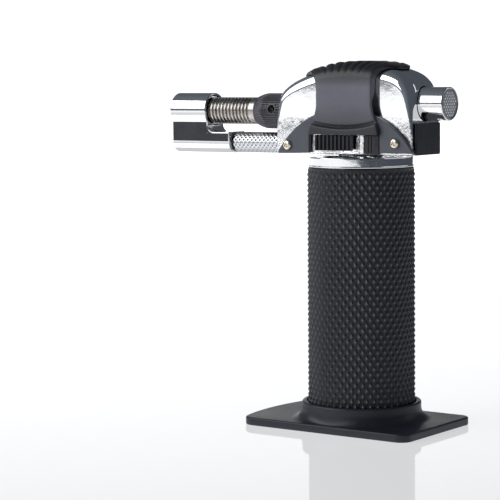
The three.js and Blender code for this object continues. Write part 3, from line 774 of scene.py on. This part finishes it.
def saddle_point(t, s, offset, side):
    """t runs from the crest (0) to the hem (1), s along X, offset is out from the casing."""
    x0, x1 = saddle_reach(t)
    x = x0 + (x1 - x0) * s
    top = crest(x)
    flat = HALF_WIDTH - shoulder_radius(top)
    radius = shoulder_radius(top) + offset
    if t < FLAT_END:
        return x, side * flat * (t / FLAT_END), top + offset
    if t < ARC_END:
        angle = QUARTER * (t - FLAT_END) / (ARC_END - FLAT_END)
        return x, side * (flat + radius * math.sin(angle)), top + offset - radius * (1 - math.cos(angle))
    shoulder = top + offset - radius
    return x, side * (flat + radius), shoulder + (HEM_Z - shoulder) * (t - ARC_END) / (1 - ARC_END)


def saddle_outer(t, s):
    """Thickness over the casing: cheeks, the swept lip near the hem, and rolls across the crown."""
    cheek = 1.9 + 1.9 * smoothstep(t, 0.25, 0.5)
    lip_t = 0.887 + 0.052 * (1 - (2 * s - 1) ** 2)
    lip = 0.65 * smoothstep(t, lip_t, lip_t + 0.015)
    lip -= 1.1 * math.exp(-((t - lip_t + 0.006) / 0.016) ** 2)
    within = smoothstep(s, 0.1, 0.2) * (1 - smoothstep(s, 0.84, 0.94))
    roll = abs(math.sin(math.pi * SADDLE_ROLLS * s)) ** 0.5
    rolls = 0.9 * (roll - 1) * (1 - smoothstep(t, 0.3, 0.48)) * within
    fall = -0.5 * (smoothstep(s, 0.9, 1) + 1 - smoothstep(s, 0, 0.1)) * (1 - smoothstep(t, 0.2, 0.5))
    return (cheek + lip + rolls + fall) * MM


def saddle_inner(t):
    return (0.3 + 2.1 * smoothstep(t, 0.6, 0.7)) * MM


def make_saddle():
    stations = np.concatenate((np.linspace(0, 0.5, 26), np.linspace(0.5, 0.8, 10)[1:],
                               np.linspace(0.8, 1, 44)[1:]))
    across = [(t, -1) for t in stations[::-1]] + [(t, 1) for t in stations[1:]]
    along = np.concatenate(([0, 0.006, 0.018], np.linspace(0.04, 0.96, 167), [0.982, 0.994, 1]))
    edge, length = 0.6 * MM, 40 * MM
    loops = []
    for t, side in across:
        loop = []
        for s in along:
            from_end = min(s, 1 - s) * length
            soft = edge * (1 - math.sqrt(max(0, 1 - (1 - min(1, from_end / edge)) ** 2)))
            loop.append(saddle_point(t, s, saddle_outer(t, s) - soft, side))
        loops.append(loop + [saddle_point(t, s, saddle_inner(t), side) for s in along[::-1]])
    made = skin("saddle_moulding", loops)
    piece(made, SADDLE, "saddle_rubber", "torch", "thumb_saddle", sharp=38, flats=False)


# ---------------- flow lever and rear block

def make_flow_lever():
    node_low, node_high = low("flow_lever"), high("flow_lever")
    hub_r, bore = 8 * MM, 5.3 * MM
    hub_low, hub_high = 113.2 * MM, 115 * MM
    section = rectangle(bore, hub_low, hub_r, hub_high, mm(0.2, 0.3, 0.3, 0.2))
    hub = turned("lever_body", section, along_z, 72)
    arm = block("arm", (*mm(-6.5, -13), hub_low + 0.02 * MM), (*mm(-2.5, -7), hub_high - 0.02 * MM))
    face = node_low.y
    ribs, pitch, depth = 9, 1.89 * MM, 0.75 * MM
    x0, x1 = node_low.x, 4.4 * MM
    back = face + 2 * MM
    outline = [(x1, back), (x0, back), (x0, face + depth)]
    first = x0 + 0.75 * MM
    for k in range(ribs):
        centre = first + pitch * (k + 0.15)
        for across, out in ((-0.55, 0), (-0.38, 0.75), (-0.2, 1), (0.2, 1), (0.38, 0.75), (0.55, 0)):
            outline.append((centre + across * MM, face + depth * (1 - out)))
    outline = np.array(outline + [(x1, face + depth)])
    pad = slab("pad", outline, node_low.z, node_high.z, 0.12 * MM, along_z, 2)
    piece(unite(hub, arm, pad), CONTROL, "control_plastic", "flow_lever", "flow_lever")


BLOCK_TRIM = 1.6 * MM            # how much narrower the block is on each side than in the CAD


def make_rear_block():
    node = "rear_block"
    face_in, face_out = 30.8 * MM, high(node).x
    half = high(node).y - BLOCK_TRIM
    outline = rectangle(-half, low(node).z, half, high(node).z, mm(0.7, 0.7, 0.5, 0.5))
    made = slab("block_face", outline, face_in, face_out, 0.3 * MM, along_x(0))
    tongue = block("tongue", (low(node).x, *mm(-7, 113.5)), (face_out - 0.4 * MM, *mm(7, 122)), 0.3 * MM)
    piece(unite(made, tongue), BLOCK, "block_plastic", "torch", node)


# ---------------- button

def make_button():
    node = "ignition_button"
    start, end = low(node).x, high(node).x
    flange_r, body_r, recess_r = high(node).y, 6.7 * MM, 6.12 * MM
    flange, recess = start + 1 * MM, end - 0.9 * MM
    profile = rounded([
        (0, start, 0), (flange_r, start, 0.2 * MM), (flange_r, flange, 0.2 * MM),
        (body_r, flange, 0.1 * MM), (body_r, end, 0.4 * MM), (recess_r, end, 0.1 * MM),
        (recess_r, recess, 0.1 * MM), (0, recess, 0),
    ])
    made = turned("button_shell", profile, along_x(middle(node).z), 112)
    notch = block("notch", mm(37.6, -3.4, 123), mm(39.8, -1, 126.1), 0.25 * MM)
    piece(cut(made, notch), BRIGHT, "chrome", "button", node)


def make_button_cap():
    """The end disc, with rows of small raised lozenges."""
    node = "button_cap"
    z = middle(node).z
    radius, rise = 5.85 * MM, 0.22 * MM
    back, face = low(node).x, high(node).x - rise
    profile = rounded([(0, back, 0), (radius, back, 0.1 * MM), (radius, face, 0.15 * MM), (0, face, 0)])
    made = turned("cap_disc", profile, along_x(z), 80)
    across, up = mm(1.75, 1.1)
    short_half, long_half, tilt, sides = 0.48 * MM, 0.54 * MM, 0.5, 12
    points, faces = [], []
    for row in range(-5, 6):
        for column in range(-9, 10):
            y, v = across * (column + 0.5 * (row % 2)), up * row
            if math.hypot(y, v) > radius - 0.75 * MM:
                continue
            base = len(points)
            for level, size in ((-0.1, 1.0), (0.0, 1.0), (0.6, 0.86), (1.0, 0.5)):
                for t in np.arange(sides) * TAU / sides:
                    a, b = short_half * size * math.cos(t), long_half * size * math.sin(t)
                    u = a * math.cos(tilt) + b * math.sin(tilt)
                    w = -a * math.sin(tilt) + b * math.cos(tilt)
                    points.append((face + rise * level, y + u, z + v + w))
            for a in range(base, base + 3 * sides, sides):
                b = a + sides
                faces += [(a + k, a + (k + 1) % sides, b + (k + 1) % sides, b + k) for k in range(sides)]
            faces.append(tuple(range(base + 3 * sides, base + 4 * sides)))
            faces.append(tuple(range(base + sides - 1, base - 1, -1)))
    dots = form("cap_dots", points, faces)
    piece(made, CAP_METAL, "cap_metal", "button", node)
    piece(dots, CAP_DOTS, "cap_metal", "button", node)


# ---------------- burner

AIR_HOLE_X, AIR_HOLE_Z = mm(-39.4, 129.4)
AIR_AXIS = along_y(AIR_HOLE_X, AIR_HOLE_Z)
FINS_START, FINS_END, FIN_PITCH = mm(-73, -50.5, 1.77)


def make_burner():
    node = "burner_tube"
    front, rear = low(node).x, -34.8 * MM
    tip, root, bore = mm(5.65, 4.6, 3.3)
    spigot_end, spigot_r = mm(-27, 4.2)
    wall, land = 0.16 * MM, FIN_PITCH * 0.48
    profile = [(bore, spigot_end), (bore, front), (tip - 0.2 * MM, front), (tip, front + 0.2 * MM)]
    profile.append((tip, FINS_START))
    for x in np.arange(FINS_START, FINS_END - FIN_PITCH, FIN_PITCH):
        rise = x + land
        profile += [
            (tip - 0.06 * MM, x + 0.02 * MM), (root + 0.12 * MM, x + wall), (root, x + wall + 0.1 * MM),
            (root, rise - 0.1 * MM), (root + 0.12 * MM, rise), (tip - 0.12 * MM, rise + wall),
            (tip, rise + wall + 0.1 * MM), (tip, x + FIN_PITCH - 0.08 * MM)]
    profile += [(tip, rear - 0.1 * MM), (tip - 0.1 * MM, rear), (spigot_r, rear), (spigot_r, spigot_end)]
    made = turned("burner_fins", profile, along_x(middle(node).z), 96)
    hole = rod("air_hole", 2 * MM, -8 * MM, 8 * MM, AIR_AXIS, 24)
    piece(cut(made, hole), STEEL, "burner_steel", "torch", node)


def hoop(x, radius, angles, z):
    """A loop round an axis along X at height z; radius is one number or one per angle."""
    r = np.broadcast_to(radius, angles.shape)
    return np.column_stack((np.full(len(angles), x), r * np.cos(angles), z + r * np.sin(angles)))


def make_air_ring():
    node = "air_control_ring"
    z = middle(node).z
    front, rear = low(node).x, high(node).x
    ribs, per_rib, depth = 44, 8, 0.5 * MM
    sides = ribs * per_rib
    angles = np.arange(sides) * TAU / sides
    groove = 1 - np.clip(0.5 + 1.1 * np.cos(ribs * angles), 0, 1)
    bore, lip, body = mm(5.95, 6.1, 7.4)
    loops = []

    def ring(radius, x, ribbed=0.0):
        from_window = np.hypot(x - AIR_HOLE_X, z + radius * np.sin(angles) - AIR_HOLE_Z)
        clear = smoothstep(from_window, 2 * MM, 2.5 * MM)
        loops.append(hoop(x, radius - depth * ribbed * groove * clear, angles, z))

    ring(bore, rear)
    ring(bore, front)
    ring(lip - 0.1 * MM, front)
    ring(lip, front + 0.1 * MM)
    cone = -44.5 * MM
    for t in np.linspace(0.2, 1, 5):
        ring(lip + (body - lip) * math.sin(t * QUARTER), front + 0.1 * MM + (cone - front) * t, 0.5 * t)
    for x in np.linspace(cone + 0.5 * MM, rear - 0.9 * MM, 24):
        ring(body, x, 1)
    ring(body, rear - 0.7 * MM, 0)
    ring(body, rear - 0.15 * MM, 0)
    ring(body - 0.15 * MM, rear)
    made = skin("air_ring_ribbed", loops, closed=True)
    hole = rod("window", 1.7 * MM, -9 * MM, 9 * MM, AIR_AXIS, 28)
    piece(cut(made, hole), RING, "ring_black", "air_ring", node)


def make_flame_holder():
    node = "flame_holder"
    z = middle(node).z
    start, end, radius = low(node).x, high(node).x, high(node).y
    profile = rounded([(0, start, 0), (radius, start, 0.25 * MM), (radius, end, 0.15 * MM), (0, end, 0)])
    made = turned("burner_disc", profile, along_x(z), 48)
    jets = [rod("jet", 0.7 * MM, start - 1 * MM, end + 1 * MM, along_x(z), 20)]
    circle, count = 1.9 * MM, 6
    for angle in np.arange(count) * TAU / count:
        axis = along_x(z + circle * math.sin(angle), circle * math.cos(angle))
        jets.append(rod("jet", 0.5 * MM, start - 1 * MM, end + 1 * MM, axis, 16))
    piece(cut(made, *jets), STEEL, "burner_steel", "torch", node)


# ---------------- nozzle guard and igniter tube

GUARD_HALF = 5.8 * MM            # flat sides
BELLY_R = 4.95 * MM              # round underside
BAR_TOP = 119.6 * MM
GUARD_STEP = -73.5 * MM          # rear of the ring and the web


def belly(bottom):
    """Underside of the guard in Y and Z, from the left flat to the right one."""
    flat = GUARD_HALF - BELLY_R
    tube_z = bottom + BELLY_R
    return np.vstack((arc((-flat, tube_z), BELLY_R, 2 * QUARTER, 3 * QUARTER, 12),
                      arc((flat, tube_z), BELLY_R, 3 * QUARTER, TAU, 12)))


def make_guard():
    """Ring round the flame over a flat-sided bar with a round underside."""
    node = "nozzle_guard"
    ring_z, tube_z = middle("burner_tube").z, middle("igniter_tube").z
    front, rear = low(node).x, high(node).x
    ring_r = high(node).y
    meet = math.acos(GUARD_HALF / ring_r)
    to_x = along_x(0)
    ring = arc((0, ring_z), ring_r, -meet, math.pi + meet, 72)
    keyhole = np.vstack((ring, belly(low(node).z)))
    body = slab("guard_casting", keyhole, front, GUARD_STEP, 0.5 * MM, to_x, 4)
    shoulder = rectangle(GUARD_HALF, BAR_TOP, -GUARD_HALF, tube_z, mm(0.7, 0.7, 0, 0))
    bar = np.vstack((shoulder[:-2], belly(low(node).z)))
    bar = slab("bar", bar, GUARD_STEP - 3 * MM, rear, 0.5 * MM, to_x, 4)
    root = 2.6 * MM
    over, under = GUARD_STEP + root, GUARD_STEP - 1 * MM
    hollow = arc((over, BAR_TOP + root), root, 2 * QUARTER, 3 * QUARTER, 10)
    sunk = BAR_TOP - 1 * MM
    corner = np.vstack((hollow, [(over, sunk), (under, sunk), (under, BAR_TOP + root)]))
    unite(body, bar, slab("corner", corner[::-1], -GUARD_HALF, GUARD_HALF, 0.4 * MM, along_y(0, 0), 4))
    bore_r, mouth_r, back_r, back = *mm(6.3, 6.9, 6.8), GUARD_STEP + 1 * MM
    bore = turned("bore", rounded([
        (0, front - 1 * MM, 0), (mouth_r, front - 1 * MM, 0), (bore_r, front + 0.5 * MM, 0.2 * MM),
        (bore_r, GUARD_STEP - 0.3 * MM, 0.1 * MM), (back_r, back, 0), (0, back, 0),
    ]), along_x(ring_z), 80)
    lead = rod("lead", 2.2 * MM, -88 * MM, rear + 1 * MM, along_x(tube_z))
    well = block("well", (*mm(-88, -1.5), tube_z), (*mm(-85, 1.5), ring_z))
    cut(body, bore, lead, well)
    piece(body, CHROME, "chrome", "torch", node, sharp=30)
    body.data.materials.append(GUARD_SIDE)
    for face in body.data.polygons:
        on_side = abs(face.normal.y) > 0.998 and abs(face.center.y) > GUARD_HALF - 0.1 * MM
        if on_side and face.center.z < ring_z - 2 * MM:
            face.material_index = 1


def make_igniter_tube():
    node = "igniter_tube"
    z = middle(node).z
    start, end = low(node).x, high(node).x
    around, grid, slope = 12, 12, 0.75
    bore, pitch, depth, edge = mm(2.2, 2.1, 0.36, 0.2)
    root = IGNITER_R - depth
    angles = np.arange(around * grid) * TAU / (around * grid)
    step = pitch / grid
    first, last = start + 0.8 * MM, end - 0.8 * MM
    rings = [(bore, start), (root - edge, start), (root, start + edge), (root, first)]
    i = np.arange(around * grid) / grid
    for j in range(1, int((last - first) / step)):
        rise = np.maximum(tent(i + j / grid), tent(i - j / grid))
        rings.append((root + depth * np.minimum(1, rise / slope), first + j * step))
    rings += [(root, last), (root, end - edge), (root - edge, end), (bore, end)]
    made = skin("igniter_knurled", [hoop(x, radius, angles, z) for radius, x in rings], closed=True)
    piece(made, KNURLED, "knurled_chrome", "torch", node, sharp=50, flats=False)


# ---------------- carried-over CAD nodes

CARRIED = {
    "fuel_tank": TANK, "dip_wick": WICK, "fill_valve_body": BRASS, "fill_valve_stem": BRASS,
    "fill_valve_spring": SPRING, "valve_seal": SEAL, "valve_body": BRASS, "valve_stem": BRASS,
    "valve_spring": SPRING, "valve_cam": CONTROL, "piezo_plunger": TANK, "button_spring": SPRING,
    "piezo_body": CONTROL, "gas_lever": SPRING, "lever_pin": SPRING, "gas_jet": BRASS,
    "gas_tube": COPPER, "electrode_insulator": CERAMIC, "electrode": SPRING, "ignition_lead": LEAD,
}


def dress_carried_nodes():
    for name, material in CARRIED.items():
        node = bpy.data.objects[name]
        if not node.material_slots:
            node.data.materials.append(material)
        for place in node.material_slots:
            place.link = "OBJECT"
            place.material = material


# ---------------- floor and light

BACKDROP_AWAY = 6.5              # metres behind the torch
APRON_REACH = 14
APRON_Z = -1 * MM
FLOOR_Z = -0.02 * MM
FLOOR_GLOSS = 0.33


def panel(name, corners, material):
    made = form(name, corners, [tuple(range(len(corners)))])
    made.data.materials.append(material)
    return made


def table_material():
    made, tree, shader = new_material("white_table")
    place = add(tree, "TexCoord").outputs["Object"]
    patch = noise(tree, place, 3, 2)
    feed(shader, {
        "Base Color": blend_colours(tree, patch, (0.30, 0.30, 0.31), (0.36, 0.36, 0.37)),
        "Roughness": 0.6, "Specular IOR Level": 0.0, "Emission Color": (0.985, 0.985, 1, 1),
        "Emission Strength": spread(tree, length_of(tree, place), (0.45, 1.6), (0.9, 1.62)),
    })
    gloss = add(tree, "BsdfGlossy", {"Roughness": spread(tree, patch, (0.3, 0.7), (0.02, 0.05))})
    top = add(tree, "MixShader", {"Fac": FLOOR_GLOSS, 1: shader.outputs[0], 2: gloss.outputs[0]})
    feed(tree.nodes["Material Output"], {"Surface": top.outputs[0]})
    return made


def make_floor():
    """A white glossy table, and a lit sheet behind it. What the chrome mirrors ends to the right and in
    front, and an apron that only the camera sees carries the table on there."""
    white = table_material()
    right, away = heading(CAMERA_AZIMUTH + QUARTER), -heading(CAMERA_AZIMUTH)
    outline = ((-14, -9), (-0.75, -2.8), (0.9, -0.9), (0.9, BACKDROP_AWAY), (-14, BACKDROP_AWAY))
    floor = panel("table", [right * x + away * y + Vector((0, 0, FLOOR_Z)) for x, y in outline], white)
    corners = ((-1, -1), (1, -1), (1, 1), (-1, 1))
    apron = panel("table_far", [(x * APRON_REACH, y * APRON_REACH, APRON_Z) for x, y in corners], white)
    apron.visible_glossy = apron.visible_diffuse = apron.visible_shadow = False
    sheet, tree, shader = new_material("backdrop_glow")
    up = height_of(tree, add(tree, "TexCoord").outputs["Object"])
    feed(shader, {"Base Color": (0.8, 0.8, 0.8, 1), "Emission Color": (1, 1, 1, 1),
                  "Emission Strength": spread(tree, up, (0.85, 1.6), (1.1, 0.35))})
    outline = ((-1.3, 0), (1.3, 0), (1.3, 1.7), (-1.3, 1.7))
    behind = away * BACKDROP_AWAY
    backdrop = panel("backdrop", [right * x + behind + Vector((0, 0, z)) for x, z in outline], sheet)
    backdrop.visible_camera = False


HEAD_Z = 110 * MM                # what the lamps aim at, on the tank's axis
LIGHT_SIDE = math.radians(-60)   # azimuth of the room's lighter side


def softbox(name, azimuth, elevation, distance, width, height, power):
    """A rectangular light aimed at the torch's head."""
    towards = heading(math.radians(azimuth), math.radians(elevation))
    data = bpy.data.lights.new(name, "AREA")
    data.shape = "RECTANGLE"
    data.size, data.size_y = width, height
    data.energy = power
    lamp = bpy.data.objects.new(name, data)
    lamp.location = Vector((0, 0, HEAD_Z)) + towards * distance
    lamp.rotation_euler = (-towards).to_track_quat("-Z", "Y").to_euler()
    lamp.visible_camera = False
    bpy.context.scene.collection.objects.link(lamp)


def make_light():
    softbox("key", -44, 29, distance=1.1, width=1.15, height=0.72, power=6.5)
    softbox("rear_fill", 140, 20, distance=1.4, width=0.3, height=0.9, power=0.7)
    world = bpy.data.worlds.new("studio")
    world.use_nodes = True
    bpy.context.scene.world = world
    tree = world.node_tree
    tree.nodes.clear()
    around = add(tree, "TexCoord").outputs["Generated"]
    facing = add(tree, "VectorMath", {0: around, 1: heading(LIGHT_SIDE)}, operation="DOT_PRODUCT")
    side = spread(tree, facing.outputs["Value"], (0.0, 0.8))
    colour = blend_colours(tree, side, (0.068, 0.078, 0.094), (0.165, 0.18, 0.20))
    room = add(tree, "Background", {"Color": colour, "Strength": 1.0})
    white = add(tree, "Background", {"Color": (1, 1, 1, 1), "Strength": 1.1})
    seen = add(tree, "LightPath").outputs["Is Camera Ray"]
    mix = add(tree, "MixShader", {"Fac": seen, 1: room.outputs[0], 2: white.outputs[0]})
    add(tree, "OutputWorld", {"Surface": mix.outputs[0]})
    bpy.context.scene.view_settings.view_transform = "Standard"


make_camera()
make_floor()
make_light()
make_stand()
make_grip()
make_collar()
make_casing()
make_side_plates()
make_screws()
make_saddle()
make_flow_lever()
make_rear_block()
make_button()
make_button_cap()
make_burner()
make_air_ring()
make_flame_holder()
make_guard()
make_igniter_tube()
dress_carried_nodes()
